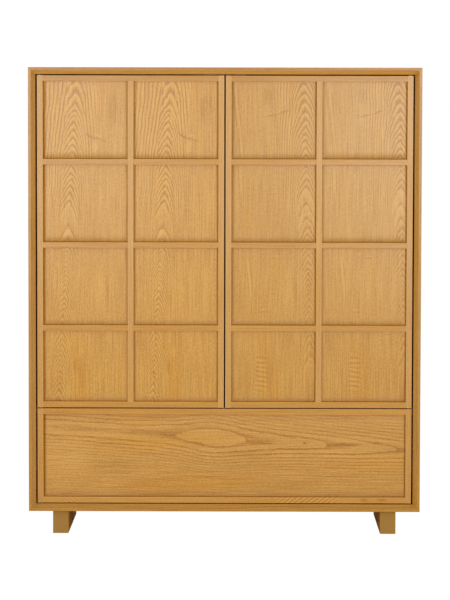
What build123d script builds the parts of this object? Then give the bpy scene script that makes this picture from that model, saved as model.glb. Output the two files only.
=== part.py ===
"""Mizuya kitchen cabinet: a mitred ash case on two foot rails, with two lattice doors on pivot pins,
fixed and loose shelves behind them, and one wide drawer on telescopic ball runners.

Every size is in millimetres. X runs to the right, Y from front to back and Z up.
The origin is on the floor, under the middle of the case.
"""

import os

from build123d import *

# ---------------------------------------------------------------- driving dimensions
# Case: four mitred boards with a flat lip and an inward bevel round the front
case_width = 1200.0
case_depth = 450.0
case_height = 1360.0
board = 21.0
lip_width = 8.5
bevel_depth = 20.0
edge_ease = 1.2
spline_width = 16.0
spline_thickness = 4.0
spline_stop = 45.0

# Back panel, screwed into a rebate
back_thickness = 6.0
back_inset = 2.0
rebate_width = 10.0
fit_gap = 0.5

# Foot rails, front to back under the case
foot_height = 70.0
foot_width = 48.0
foot_inset = 73.0
foot_setback = 15.0
foot_ease = 1.5
counterbore_depth = 30.0

# Gaps round the doors and the drawer front
side_gap = 4.5
top_gap = 3.5
centre_gap = 4.5
floor_gap = 2.5
front_setback = 22.0
push_gap = 4.0

# Framed fronts: full-depth stiles and rails, a tongued core, and thin lattice bars on its face
front_thickness = 24.0
frame_width = 18.0
core_thickness = 15.0
tongue_thickness = 5.0
tongue_depth = 6.0
muntin_width = 18.0
frame_ease = 1.0
drawer_front_height = 291.3
row_height = 236.5
crossbar_count = 3

# Inside the case
housing_depth = 6.0
divider_thickness = 20.0
partition_thickness = 20.0
partition_setback = 20.0
shelf_thickness = 20.0
shelf_setback = 30.0
shelf_side_gap = 1.0
pin_radius = 2.5
pin_hole_depth = 9.0
pin_reach = 9.0
pin_collar_radius = 4.0
pin_collar_thickness = 1.0
pin_hole_pitch = 32.0
pin_holes_per_group = 5
pin_row_inset = 50.0
lower_shelf_height = 322.0
upper_shelf_height = 666.0

# Pivot hinges at the top and bottom outer corner of each door
pivot_inset = 9.0
pivot_pin_radius = 3.0
pivot_plate_width = 16.0
pivot_plate_thickness = 1.8
pivot_plate_tail = 62.0
pivot_plate_clearance = 0.4
bush_radius = 5.0
bush_length = 14.0
bush_flange_radius = 6.5
bush_flange_thickness = 1.0
pin_engagement = 12.0
running_fit = 0.05
running_gap = 0.3

# Push latches
latch_width = 20.0
latch_height = 20.0
latch_length = 60.0
latch_flange_width = 38.0
latch_flange_thickness = 3.0
latch_travel = 3.0
latch_offset = 45.0
plunger_axis_height = 12.5
plunger_radius = 3.5
plunger_head_radius = 4.5
plunger_head_length = 4.0
plunger_length = 48.0
plunger_clearance = 0.1
strike_radius = 6.0
strike_thickness = 1.2

# Drawer box and its telescopic runners
box_wall = 12.0
box_height = 220.0
box_lift = 24.0
box_rear_gap = 21.0
box_bottom_thickness = 6.0
box_bottom_lift = 10.0
box_groove = 6.0
finger_count = 5
runner_space = 13.0
runner_end_gap = 8.0
runner_start = 3.0
runner_height = 45.0
runner_lift = 90.0
runner_gauge = 1.2
ball_radius = 1.8
ball_clearance = 0.1
ball_spacing = 32.0
balls_per_row = 6
cage_length = 180.0
cage_gauge = 0.5
cage_start = 90.0

# Screws: shank radius, head radius, head height
screw_shank = 1.75
screw_head = 3.5
screw_head_height = 1.9
screw_tip = 4.0
slot_width = 0.9
slot_depth = 0.9
back_screw_length = 20.0
hardware_screw_length = 14.0
runner_screw_length = 11.0
front_screw_length = 22.0
foot_screw_length = 54.0
foot_screw_shank = 2.8
foot_screw_head = 5.5
foot_screw_head_height = 3.5
back_screw_inset = 50.0
plate_screw_inset = 12.0
runner_screw_inset = 30.0
front_screw_inset = 50.0
foot_screw_inset = 50.0

# ---------------------------------------------------------------- levels worked out from them
half_width = case_width / 2
front = -case_depth / 2
back = case_depth / 2
case_floor = foot_height
case_crown = foot_height + case_height
case_middle = (case_floor + case_crown) / 2
inner_half = half_width - board
inner_floor = case_floor + board
inner_crown = case_crown - board

face = front + front_setback
rear_face = face + front_thickness
panel_face = rear_face - core_thickness
inner_front = rear_face + push_gap
back_face = back - back_inset
inner_back = back_face - back_thickness

front_half = inner_half - side_gap
front_floor = inner_floor + floor_gap
drawer_top = front_floor + drawer_front_height
front_gap = pivot_plate_clearance + pivot_plate_thickness + bush_flange_thickness + running_gap
door_floor = drawer_top + front_gap
door_crown = inner_crown - top_gap
door_inner = centre_gap / 2

divider_top = drawer_top + pivot_plate_clearance + pivot_plate_thickness
divider_floor = divider_top - divider_thickness
pivot_x = front_half - pivot_inset
pivot_y = face + pivot_inset

tongue_y = rear_face - core_thickness / 2
lattice_thickness = panel_face - face
opening_left = front_half - frame_width
opening_right = door_inner + frame_width
door_middle = (front_half + door_inner) / 2
crossbar_levels = [
    door_crown - frame_width - (row + 1) * row_height - (row + 0.5) * muntin_width
    for row in range(crossbar_count)
]

shelf_pin_levels = {
    "lower": divider_top + lower_shelf_height,
    "upper": divider_top + upper_shelf_height,
}
partition_front = inner_front + partition_setback
shelf_front = inner_front + shelf_setback
pin_rows = (shelf_front + pin_row_inset, inner_back - pin_row_inset)

box_half = inner_half - runner_space
box_floor = inner_floor + box_lift
box_crown = box_floor + box_height
box_back = inner_back - box_rear_gap
runner_level = box_floor + runner_lift
runner_front = inner_front + runner_start
runner_length = box_back - runner_end_gap - runner_front

SIDES = {"left": -1, "right": 1}

os.makedirs("parts", exist_ok=True)


# ---------------------------------------------------------------- helpers
def save(part, name):
    """Label a finished piece and write it to its own STEP file."""
    part.label = name
    export_step(part, f"parts/{name}.step")


def block(x, y, z, mode=Mode.ADD):
    """Box between two values on each axis, in either order, added to or cut from the part in hand."""
    spans = [(min(pair), max(pair)) for pair in (x, y, z)]
    with Locations(tuple((low + high) / 2 for low, high in spans)):
        Box(*(high - low for low, high in spans), mode=mode)


def facing(origin, direction):
    """Location at origin whose own Z points along direction."""
    return Plane(origin=origin, z_dir=direction).location


def screw_outline(length, shank, head, head_height):
    """Countersunk screw with no driver slot, head up at its own origin; it also cuts the screw's hole."""
    with BuildPart() as outline:
        with BuildSketch(Plane.XZ):
            with BuildLine():
                Polyline(
                    (0, 0),
                    (head, 0),
                    (shank, -head_height),
                    (shank, -length + screw_tip),
                    (0, -length),
                    close=True,
                )
            make_face()
        revolve(axis=Axis.Z)
    return outline.part


def slotted_screw(length, shank=screw_shank, head=screw_head, head_height=screw_head_height):
    """Countersunk screw with a cross slot in its head."""
    with BuildPart() as screw:
        add(screw_outline(length, shank, head, head_height))
        with BuildSketch(Plane.XY):
            Rectangle(1.2 * head, slot_width)
            Rectangle(slot_width, 1.2 * head)
        extrude(amount=-slot_depth, mode=Mode.SUBTRACT)
    return screw.part


def screw_hole(length, shank=screw_shank, head=screw_head, head_height=screw_head_height):
    """Hole that the countersunk screw of the same sizes fills."""
    return screw_outline(length, shank, head, head_height)


def copies(shape, places):
    """One node of separate solids: the shape at each place."""
    with BuildPart() as group:
        with Locations(*places):
            add(shape)
    return group.part


# ---------------------------------------------------------------- fastener places
def evenly(low, high, count):
    """Count values from low to high, both ends included."""
    return [low + (high - low) * i / (count - 1) for i in range(count)]


rebate_centre = rebate_width / 2
back_screw_x = inner_half + rebate_centre
back_screw_levels = evenly(inner_floor + back_screw_inset, inner_crown - back_screw_inset, 6)
back_screw_columns = evenly(back_screw_inset - inner_half, inner_half - back_screw_inset, 5)
back_screw_points = (
    [(side * back_screw_x, level) for side in SIDES.values() for level in back_screw_levels]
    + [(x, inner_crown + rebate_centre) for x in back_screw_columns]
    + [(x, inner_floor - rebate_centre) for x in back_screw_columns]
    + [(x, (divider_top + divider_floor) / 2) for x in (-inner_half / 2, 0, inner_half / 2)]
)
back_screw_places = [facing((x, back_face, z), (0, 1, 0)) for x, z in back_screw_points]

foot_x = half_width - foot_inset - foot_width / 2
foot_length = case_depth - 2 * foot_setback
foot_screw_places = [
    facing((side * foot_x, y, counterbore_depth), (0, 0, -1))
    for side in SIDES.values()
    for y in evenly(foot_screw_inset - foot_length / 2, foot_length / 2 - foot_screw_inset, 3)
]

plate_screw_rows = (inner_front + plate_screw_inset, inner_front + pivot_plate_tail - plate_screw_inset)
lower_plate_screws = [
    facing((side * pivot_x, y, divider_top), (0, 0, 1)) for side in SIDES.values() for y in plate_screw_rows
]
upper_plate_screws = [
    facing((side * pivot_x, y, inner_crown), (0, 0, -1)) for side in SIDES.values() for y in plate_screw_rows
]

runner_screw_rows = evenly(
    runner_front + runner_screw_inset, runner_front + runner_length - runner_screw_inset, 3
)
case_runner_screws = [
    facing((side * (inner_half - runner_gauge), y, runner_level), (-side, 0, 0))
    for side in SIDES.values()
    for y in runner_screw_rows
]
drawer_runner_screws = [
    facing((side * (box_half + runner_gauge), y, runner_level), (side, 0, 0))
    for side in SIDES.values()
    for y in runner_screw_rows
]

front_screw_places = [
    facing((x, rear_face + box_wall, z), (0, 1, 0))
    for x in (-box_half / 2, box_half / 2)
    for z in (box_floor + front_screw_inset, box_crown - front_screw_inset)
]

tip_y = rear_face + running_gap
latch_front = tip_y + plunger_head_length + latch_travel + running_gap
latch_middle = latch_front + latch_length / 2
latch_screw_spread = ((latch_flange_width + latch_width) / 2, latch_length - 2 * plate_screw_inset)
door_latch_screws = [
    facing((side * latch_offset + x, latch_middle + y, inner_crown - latch_flange_thickness), (0, 0, -1))
    for side in SIDES.values()
    for x in (-latch_screw_spread[0] / 2, latch_screw_spread[0] / 2)
    for y in (-latch_screw_spread[1] / 2, latch_screw_spread[1] / 2)
]
drawer_latch_screws = [
    facing((x, latch_middle + y, inner_floor + latch_flange_thickness), (0, 0, 1))
    for x in (-latch_screw_spread[0] / 2, latch_screw_spread[0] / 2)
    for y in (-latch_screw_spread[1] / 2, latch_screw_spread[1] / 2)
]

back_screw_hole = screw_hole(back_screw_length)
hardware_screw_hole = screw_hole(hardware_screw_length)
runner_screw_hole = screw_hole(runner_screw_length)
front_screw_hole = screw_hole(front_screw_length)
foot_screw_sizes = (foot_screw_length, foot_screw_shank, foot_screw_head, foot_screw_head_height)
foot_screw_hole = screw_hole(*foot_screw_sizes)


# ---------------------------------------------------------------- case
case_plane = Plane(origin=(0, front, case_middle), x_dir=(1, 0, 0), z_dir=(0, -1, 0))
spline_places = [
    Location(
        (x * (half_width - board / 2), 0, case_middle + z * (case_height / 2 - board / 2)),
        (0, 45 * x * z, 0),
    )
    for x in (-1, 1)
    for z in (-1, 1)
]


def case_board(outline, long_axis, outward_axis, outer_first):
    """One mitred board of the case: outline is its trapezoid in the plane of the case's front."""
    with BuildPart() as piece:
        with BuildSketch(case_plane):
            Polygon(*outline, align=None)
        extrude(amount=-case_depth)
        outer_edges = piece.edges().filter_by(long_axis).group_by(outward_axis)[0 if outer_first else -1]
        fillet(outer_edges.group_by(Axis.Y)[0], edge_ease)
        with BuildSketch(case_plane):
            Rectangle(case_width - 2 * lip_width, case_height - 2 * lip_width)
        with BuildSketch(case_plane.offset(-bevel_depth)):
            Rectangle(2 * inner_half, case_height - 2 * board)
        loft(mode=Mode.SUBTRACT)
        with BuildSketch(case_plane.offset(-case_depth)):
            Rectangle(2 * (inner_half + rebate_width), case_height - 2 * (board - rebate_width))
        extrude(amount=back_inset + back_thickness, mode=Mode.SUBTRACT)
        with Locations(*spline_places):
            Box(
                spline_width + fit_gap,
                case_depth - 2 * spline_stop,
                spline_thickness,
                mode=Mode.SUBTRACT,
            )
        with Locations(*back_screw_places):
            add(back_screw_hole, mode=Mode.SUBTRACT)
    return piece.part


outer_z = case_height / 2
inner_z = outer_z - board
top_outline = [(-half_width, outer_z), (half_width, outer_z), (inner_half, inner_z), (-inner_half, inner_z)]
bottom_outline = [(x, -z) for x, z in top_outline]
right_outline = [(half_width, -outer_z), (half_width, outer_z), (inner_half, inner_z), (inner_half, -inner_z)]
left_outline = [(-x, z) for x, z in right_outline]

with BuildPart() as case_top:
    add(case_board(top_outline, Axis.X, Axis.Z, outer_first=False))
    block(
        (-partition_thickness / 2, partition_thickness / 2),
        (partition_front, inner_back),
        (inner_crown, inner_crown + housing_depth),
        mode=Mode.SUBTRACT,
    )
    for side in SIDES.values():
        block(
            (side * pivot_x - pivot_plate_width / 2, side * pivot_x + pivot_plate_width / 2),
            (pivot_y - pivot_plate_width / 2, inner_front + pivot_plate_tail),
            (inner_crown, inner_crown + pivot_plate_thickness),
            mode=Mode.SUBTRACT,
        )
    with Locations(*upper_plate_screws, *door_latch_screws):
        add(hardware_screw_hole, mode=Mode.SUBTRACT)
save(case_top.part, "case_top")

with BuildPart() as case_bottom:
    add(case_board(bottom_outline, Axis.X, Axis.Z, outer_first=True))
    with Locations(*foot_screw_places):
        add(foot_screw_hole, mode=Mode.SUBTRACT)
    with Locations(*drawer_latch_screws):
        add(hardware_screw_hole, mode=Mode.SUBTRACT)
save(case_bottom.part, "case_bottom")

pin_row_middle = sum(pin_rows) / 2
for name, side in SIDES.items():
    outline = left_outline if side < 0 else right_outline
    with BuildPart() as case_side:
        add(case_board(outline, Axis.Z, Axis.X, outer_first=side < 0))
        block(
            (side * inner_half, side * (inner_half + housing_depth)),
            (inner_front, inner_back),
            (divider_floor, divider_top),
            mode=Mode.SUBTRACT,
        )
        for level in shelf_pin_levels.values():
            hole_plane = Plane(
                origin=(side * inner_half, pin_row_middle, level), x_dir=(0, 1, 0), z_dir=(-side, 0, 0)
            )
            with BuildSketch(hole_plane):
                with GridLocations(pin_rows[1] - pin_rows[0], pin_hole_pitch, 2, pin_holes_per_group):
                    Circle(pin_radius)
            extrude(amount=-pin_hole_depth, mode=Mode.SUBTRACT)
        with Locations(*case_runner_screws):
            add(hardware_screw_hole, mode=Mode.SUBTRACT)
    save(case_side.part, f"case_side_{name}")

spline = Box(spline_width, case_depth - 2 * spline_stop, spline_thickness)
save(copies(spline, spline_places), "mitre_splines")

with BuildPart() as back_panel:
    block(
        (-inner_half - rebate_width + fit_gap, inner_half + rebate_width - fit_gap),
        (inner_back, back_face),
        (inner_floor - rebate_width + fit_gap, inner_crown + rebate_width - fit_gap),
    )
    with Locations(*back_screw_places):
        add(back_screw_hole, mode=Mode.SUBTRACT)
save(back_panel.part, "back_panel")
save(copies(slotted_screw(back_screw_length), back_screw_places), "back_panel_screws")

with BuildPart() as drawer_divider:
    block(
        (-inner_half - housing_depth, inner_half + housing_depth),
        (inner_front, inner_back),
        (divider_floor, divider_top),
    )
    block(
        (-partition_thickness / 2, partition_thickness / 2),
        (partition_front, inner_back),
        (divider_top - housing_depth, divider_top),
        mode=Mode.SUBTRACT,
    )
    for side in SIDES.values():
        block(
            (side * pivot_x - pivot_plate_width / 2, side * pivot_x + pivot_plate_width / 2),
            (inner_front, inner_front + pivot_plate_tail),
            (divider_top - pivot_plate_thickness, divider_top),
            mode=Mode.SUBTRACT,
        )
    with Locations(*lower_plate_screws):
        add(hardware_screw_hole, mode=Mode.SUBTRACT)
    with Locations(*back_screw_places):
        add(back_screw_hole, mode=Mode.SUBTRACT)
save(drawer_divider.part, "drawer_divider")

with BuildPart() as centre_partition:
    block(
        (-partition_thickness / 2, partition_thickness / 2),
        (partition_front, inner_back),
        (divider_top - housing_depth, inner_crown + housing_depth),
    )
    for side in SIDES.values():
        for level in shelf_pin_levels.values():
            hole_plane = Plane(
                origin=(side * partition_thickness / 2, pin_row_middle, level),
                x_dir=(0, 1, 0),
                z_dir=(side, 0, 0),
            )
            with BuildSketch(hole_plane):
                with GridLocations(pin_rows[1] - pin_rows[0], pin_hole_pitch, 2, pin_holes_per_group):
                    Circle(pin_radius)
            extrude(amount=-pin_hole_depth, mode=Mode.SUBTRACT)
    with Locations(*back_screw_places):
        add(back_screw_hole, mode=Mode.SUBTRACT)
save(centre_partition.part, "centre_partition")

shelf_ends = (partition_thickness / 2 + shelf_side_gap, inner_half - shelf_side_gap)
for name, side in SIDES.items():
    for tier, level in shelf_pin_levels.items():
        shelf_floor = level + pin_radius
        with BuildPart() as shelf:
            block(
                (side * shelf_ends[0], side * shelf_ends[1]),
                (shelf_front, inner_back - fit_gap),
                (shelf_floor, shelf_floor + shelf_thickness),
            )
            fillet(shelf.edges().filter_by(Axis.X).group_by(Axis.Y)[0], edge_ease)
        save(shelf.part, f"shelf_{name}_{tier}")

with BuildPart() as shelf_pin:
    with BuildSketch(Plane.XZ):
        with BuildLine():
            Polyline(
                (0, -pin_hole_depth + fit_gap),
                (pin_radius, -pin_hole_depth + fit_gap),
                (pin_radius, 0),
                (pin_collar_radius, 0),
                (pin_collar_radius, pin_collar_thickness),
                (pin_radius, pin_collar_thickness),
                (pin_radius, pin_reach),
                (0, pin_reach),
                close=True,
            )
        make_face()
    revolve(axis=Axis.Z)
pin_places = [
    facing((side * wall, y, level), (-side * inward, 0, 0))
    for side in SIDES.values()
    for wall, inward in ((inner_half, 1), (partition_thickness / 2, -1))
    for y in pin_rows
    for level in shelf_pin_levels.values()
]
save(copies(shelf_pin.part, pin_places), "shelf_pins")

# ---------------------------------------------------------------- foot rails
for name, side in SIDES.items():
    with BuildPart() as foot_rail:
        block(
            (side * foot_x - foot_width / 2, side * foot_x + foot_width / 2),
            (-foot_length / 2, foot_length / 2),
            (0, foot_height),
        )
        long_floor_edges = foot_rail.edges().filter_by(Axis.Y).group_by(Axis.Z)[0]
        fillet(foot_rail.edges().filter_by(Axis.Z) + long_floor_edges, foot_ease)
        with Locations(*foot_screw_places):
            add(foot_screw_hole, mode=Mode.SUBTRACT)
            Cylinder(
                foot_screw_head + fit_gap,
                counterbore_depth,
                align=(Align.CENTER, Align.CENTER, Align.MIN),
                mode=Mode.SUBTRACT,
            )
    save(foot_rail.part, f"foot_rail_{name}")
save(copies(slotted_screw(*foot_screw_sizes), foot_screw_places), "foot_rail_screws")


# ---------------------------------------------------------------- framed fronts
def frame_bar(x, z, long_axis):
    """Full-depth stile or rail with its face edges eased."""
    with BuildPart() as bar:
        block(x, (face, rear_face), z)
        fillet(bar.edges().filter_by(long_axis).group_by(Axis.Y)[0], frame_ease)
    return bar.part


def tongue_slab(x, z, mode=Mode.ADD):
    """Slab of the tongue's thickness that stands out of an opening x by z on every side."""
    low_x, high_x = min(x), max(x)
    block(
        (low_x - tongue_depth, high_x + tongue_depth),
        (tongue_y - tongue_thickness / 2, tongue_y + tongue_thickness / 2),
        (z[0] - tongue_depth, z[1] + tongue_depth),
        mode=mode,
    )


def tongued_core(x, z):
    """Veneered core of a front: it fills the opening behind the lattice and its tongue enters the frame."""
    with BuildPart() as core:
        block(x, (panel_face, rear_face), z)
        tongue_slab(x, z)
    return core.part


def grooved_stile(x, z, opening_x):
    """Stile with one groove down its whole inner edge, for the core's tongue and the rails' stub tenons."""
    groove_end = [end + tongue_depth * direction for end, direction in zip(sorted(opening_x), (-1, 1))]
    with BuildPart() as stile:
        add(frame_bar(x, z, Axis.Z))
        block(
            groove_end,
            (tongue_y - tongue_thickness / 2, tongue_y + tongue_thickness / 2),
            z,
            mode=Mode.SUBTRACT,
        )
    return stile.part


def tenoned_rail(x, z, opening_z):
    """Rail between two stiles: stub tenons at its ends and a groove for the core's tongue."""
    with BuildPart() as rail:
        add(frame_bar(x, z, Axis.X))
        block(
            (min(x) - tongue_depth, max(x) + tongue_depth),
            (tongue_y - tongue_thickness / 2, tongue_y + tongue_thickness / 2),
            z,
        )
        tongue_slab(x, opening_z, mode=Mode.SUBTRACT)
    return rail.part


door_opening_z = (door_floor + frame_width, door_crown - frame_width)
lap_y = (face + lattice_thickness / 2, panel_face)
bush_bore_depth = bush_length + fit_gap


def bush_places(side):
    """Both bushes of a door, each one's own Z pointing out of the stile's end."""
    return [
        facing((side * pivot_x, pivot_y, door_floor), (0, 0, -1)),
        facing((side * pivot_x, pivot_y, door_crown), (0, 0, 1)),
    ]


def strike_recess(x, z, mode=Mode.SUBTRACT):
    """Disc let into the back of a front, for a latch's plunger to hold."""
    with Locations(facing((x, rear_face, z), (0, 1, 0))):
        Cylinder(strike_radius, strike_thickness, align=(Align.CENTER, Align.CENTER, Align.MAX), mode=mode)


latch_level = inner_crown - plunger_axis_height
drawer_latch_level = inner_floor + plunger_axis_height

with BuildPart() as bush:
    Cylinder(bush_radius, bush_length, align=(Align.CENTER, Align.CENTER, Align.MAX))
    Cylinder(bush_flange_radius, bush_flange_thickness, align=(Align.CENTER, Align.CENTER, Align.MIN))
    Cylinder(pivot_pin_radius + running_fit, 3 * bush_length, mode=Mode.SUBTRACT)

for name, side in SIDES.items():
    opening_x = (side * opening_left, side * opening_right)

    with BuildPart() as outer_stile:
        add(grooved_stile((side * front_half, side * opening_left), (door_floor, door_crown), opening_x))
        with Locations(*bush_places(side)):
            Cylinder(
                bush_radius,
                bush_bore_depth,
                align=(Align.CENTER, Align.CENTER, Align.MAX),
                mode=Mode.SUBTRACT,
            )
    save(outer_stile.part, f"{name}_door_hinge_stile")

    inner_stile = grooved_stile((side * opening_right, side * door_inner), (door_floor, door_crown), opening_x)
    save(inner_stile, f"{name}_door_meeting_stile")

    with BuildPart() as top_rail:
        add(tenoned_rail(opening_x, (door_opening_z[1], door_crown), door_opening_z))
        strike_recess(side * latch_offset, latch_level)
    save(top_rail.part, f"{name}_door_top_rail")
    save(tenoned_rail(opening_x, (door_floor, door_opening_z[0]), door_opening_z), f"{name}_door_bottom_rail")
    save(tongued_core(opening_x, door_opening_z), f"{name}_door_core")

    with BuildPart() as upright:
        block(
            (side * door_middle - muntin_width / 2, side * door_middle + muntin_width / 2),
            (face, panel_face),
            door_opening_z,
        )
        fillet(upright.edges().filter_by(Axis.Z).group_by(Axis.Y)[0], frame_ease)
        for level in crossbar_levels:
            block(
                (side * door_middle - muntin_width / 2, side * door_middle + muntin_width / 2),
                lap_y,
                (level - muntin_width / 2, level + muntin_width / 2),
                mode=Mode.SUBTRACT,
            )
    save(upright.part, f"{name}_door_lattice_upright")

    with BuildPart() as crossbars:
        for level in crossbar_levels:
            block(opening_x, (face, panel_face), (level - muntin_width / 2, level + muntin_width / 2))
        fillet(crossbars.edges().filter_by(Axis.X).group_by(Axis.Y)[0], frame_ease)
        block(
            (side * door_middle - muntin_width / 2, side * door_middle + muntin_width / 2),
            (face, lap_y[0]),
            door_opening_z,
            mode=Mode.SUBTRACT,
        )
    save(crossbars.part, f"{name}_door_lattice_crossbars")

    save(copies(bush.part, bush_places(side)), f"{name}_door_bushes")

    with BuildPart() as strike:
        strike_recess(side * latch_offset, latch_level, mode=Mode.ADD)
    save(strike.part, f"{name}_door_strike")

# ---------------------------------------------------------------- pivot hinges
plate_y = (pivot_y - pivot_plate_width / 2, inner_front + pivot_plate_tail)


with BuildPart() as pivot_plates:
    for side in SIDES.values():
        for level in (divider_top - pivot_plate_thickness, inner_crown):
            block(
                (side * pivot_x - pivot_plate_width / 2, side * pivot_x + pivot_plate_width / 2),
                plate_y,
                (level, level + pivot_plate_thickness),
            )
    plate_noses = pivot_plates.edges().filter_by(Axis.Z).group_by(Axis.Y)[0]
    fillet(plate_noses, pivot_plate_width / 2 - fit_gap)
    with Locations(*lower_plate_screws, *upper_plate_screws):
        add(hardware_screw_hole, mode=Mode.SUBTRACT)
    with Locations(*((side * pivot_x, pivot_y, case_middle) for side in SIDES.values())):
        Cylinder(pivot_pin_radius, case_height, mode=Mode.SUBTRACT)
save(pivot_plates.part, "pivot_plates")

with BuildPart() as pivot_pins:
    for side in SIDES.values():
        for start, end in (
            (divider_top - pivot_plate_thickness, door_floor + pin_engagement),
            (door_crown - pin_engagement, inner_crown + pivot_plate_thickness),
        ):
            with Locations((side * pivot_x, pivot_y, (start + end) / 2)):
                Cylinder(pivot_pin_radius, end - start)
save(pivot_pins.part, "pivot_pins")

# ---------------------------------------------------------------- push latches
with BuildPart() as latch_housings:
    for x, wall, inward in (
        (-latch_offset, inner_crown, -1),
        (latch_offset, inner_crown, -1),
        (0, inner_floor, 1),
    ):
        length = (latch_front, latch_front + latch_length)
        block((x - latch_width / 2, x + latch_width / 2), length, (wall, wall + inward * latch_height))
        block(
            (x - latch_flange_width / 2, x + latch_flange_width / 2),
            length,
            (wall, wall + inward * latch_flange_thickness),
        )
        with Locations(facing((x, latch_front, wall + inward * plunger_axis_height), (0, -1, 0))):
            Cylinder(
                plunger_radius + plunger_clearance,
                plunger_length + latch_travel,
                align=(Align.CENTER, Align.CENTER, Align.MAX),
                mode=Mode.SUBTRACT,
            )
    with Locations(*door_latch_screws, *drawer_latch_screws):
        add(hardware_screw_hole, mode=Mode.SUBTRACT)
save(latch_housings.part, "latch_housings")


def latch_plunger(x, level):
    """Round shank in its housing, with a wider magnetic tip close behind the front that it holds."""
    with BuildPart() as piece:
        with Locations(facing((x, tip_y, level), (0, -1, 0))):
            Cylinder(plunger_head_radius, plunger_head_length, align=(Align.CENTER, Align.CENTER, Align.MAX))
            Cylinder(plunger_radius, plunger_length, align=(Align.CENTER, Align.CENTER, Align.MAX))
        fillet(piece.edges().filter_by(GeomType.CIRCLE).group_by(Axis.Y)[0], frame_ease)
    return piece.part


for name, side in SIDES.items():
    save(latch_plunger(side * latch_offset, latch_level), f"{name}_door_latch_plunger")
save(latch_plunger(0, drawer_latch_level), "drawer_latch_plunger")

hardware_screw_places = (
    lower_plate_screws + upper_plate_screws + door_latch_screws + drawer_latch_screws + case_runner_screws
)
save(copies(slotted_screw(hardware_screw_length), hardware_screw_places), "hardware_screws")

# ---------------------------------------------------------------- drawer front
drawer_x = (-front_half + frame_width, front_half - frame_width)
drawer_z = (front_floor + frame_width, drawer_top - frame_width)
for name, side in SIDES.items():
    stile = grooved_stile((side * front_half, side * drawer_x[1]), (front_floor, drawer_top), drawer_x)
    save(stile, f"drawer_{name}_stile")
save(tenoned_rail(drawer_x, (drawer_z[1], drawer_top), drawer_z), "drawer_top_rail")

with BuildPart() as drawer_bottom_rail:
    add(tenoned_rail(drawer_x, (front_floor, drawer_z[0]), drawer_z))
    strike_recess(0, drawer_latch_level)
save(drawer_bottom_rail.part, "drawer_bottom_rail")

with BuildPart() as drawer_strike:
    strike_recess(0, drawer_latch_level, mode=Mode.ADD)
save(drawer_strike.part, "drawer_strike")

with BuildPart() as drawer_front_core:
    add(tongued_core(drawer_x, drawer_z))
    with Locations(*front_screw_places):
        add(front_screw_hole, mode=Mode.SUBTRACT)
save(drawer_front_core.part, "drawer_front_core")
save(copies(slotted_screw(front_screw_length), front_screw_places), "drawer_front_screws")

# ---------------------------------------------------------------- drawer box
finger = box_height / finger_count
box_subfront_y = (rear_face, rear_face + box_wall)
box_back_y = (box_back - box_wall, box_back)
bottom_z = (box_floor + box_bottom_lift, box_floor + box_bottom_lift + box_bottom_thickness)
bottom_x = (-box_half + box_wall - box_groove, box_half - box_wall + box_groove)
bottom_y = (rear_face + box_wall - box_groove, box_back - box_wall + box_groove)


def finger_spans(parity):
    """Heights of every second finger of a corner joint, from the box's lower edge."""
    return [
        (box_floor + i * finger, box_floor + (i + 1) * finger) for i in range(finger_count) if i % 2 == parity
    ]


for name, side in SIDES.items():
    wall_x = (side * box_half, side * (box_half - box_wall))
    with BuildPart() as box_side:
        block(wall_x, (rear_face, box_back), (box_floor, box_crown))
        for span in finger_spans(1):
            block(wall_x, box_subfront_y, span, mode=Mode.SUBTRACT)
            block(wall_x, box_back_y, span, mode=Mode.SUBTRACT)
        block(bottom_x, bottom_y, bottom_z, mode=Mode.SUBTRACT)
        with Locations(*drawer_runner_screws):
            add(runner_screw_hole, mode=Mode.SUBTRACT)
    save(box_side.part, f"drawer_box_{name}_side")

for name, wall_y in (("front", box_subfront_y), ("back", box_back_y)):
    with BuildPart() as box_end:
        block((-box_half, box_half), wall_y, (box_floor, box_crown))
        for side in SIDES.values():
            for span in finger_spans(0):
                block((side * box_half, side * (box_half - box_wall)), wall_y, span, mode=Mode.SUBTRACT)
        block(bottom_x, bottom_y, bottom_z, mode=Mode.SUBTRACT)
        with Locations(*front_screw_places):
            add(front_screw_hole, mode=Mode.SUBTRACT)
    save(box_end.part, f"drawer_box_{name}")

with BuildPart() as drawer_box_bottom:
    block(bottom_x, bottom_y, bottom_z)
save(drawer_box_bottom.part, "drawer_box_bottom")

# ---------------------------------------------------------------- telescopic runners
# Each runner is three nested channels. Depths run from the case's side towards the drawer box,
# and each pair of channels is parted by a row of balls above and a row below, held in a cage.
ball_gap = 2 * (ball_radius + ball_clearance)
outer_half = runner_height / 2
middle_half = outer_half - runner_gauge - ball_gap
inner_member_half = middle_half - runner_gauge - ball_gap
middle_web = 2 * runner_gauge
runner_stretch = (runner_front, runner_front + runner_length)
ball_depth = runner_space / 2
outer_reach = runner_space - 3 * runner_gauge
middle_reach = runner_space - 1.7 * runner_gauge
inner_start = middle_web + runner_gauge + 2 * runner_gauge
cage_front = runner_front + cage_start


def channels(web, reach, half, hole=None, screw_places=()):
    """A pair of steel channels: web and reach are depths, half is half of their height."""
    hollow = (web[1], reach) if reach > web[1] else (reach, web[0])
    with BuildPart() as members:
        for side in SIDES.values():
            block(
                (side * (inner_half - min(web[0], reach)), side * (inner_half - max(web[1], reach))),
                runner_stretch,
                (runner_level - half, runner_level + half),
            )
            block(
                (side * (inner_half - hollow[0]), side * (inner_half - hollow[1])),
                runner_stretch,
                (runner_level - half + runner_gauge, runner_level + half - runner_gauge),
                mode=Mode.SUBTRACT,
            )
        if screw_places:
            with Locations(*screw_places):
                add(hole, mode=Mode.SUBTRACT)
    return members.part


def ball_points(half):
    """Centres of the balls over and under a pair of channels whose half height is given."""
    height = half + ball_gap / 2
    first = cage_front + (cage_length - (balls_per_row - 1) * ball_spacing) / 2
    return [
        (side * (inner_half - ball_depth), first + i * ball_spacing, runner_level + level * height)
        for side in SIDES.values()
        for level in (-1, 1)
        for i in range(balls_per_row)
    ]


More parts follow.
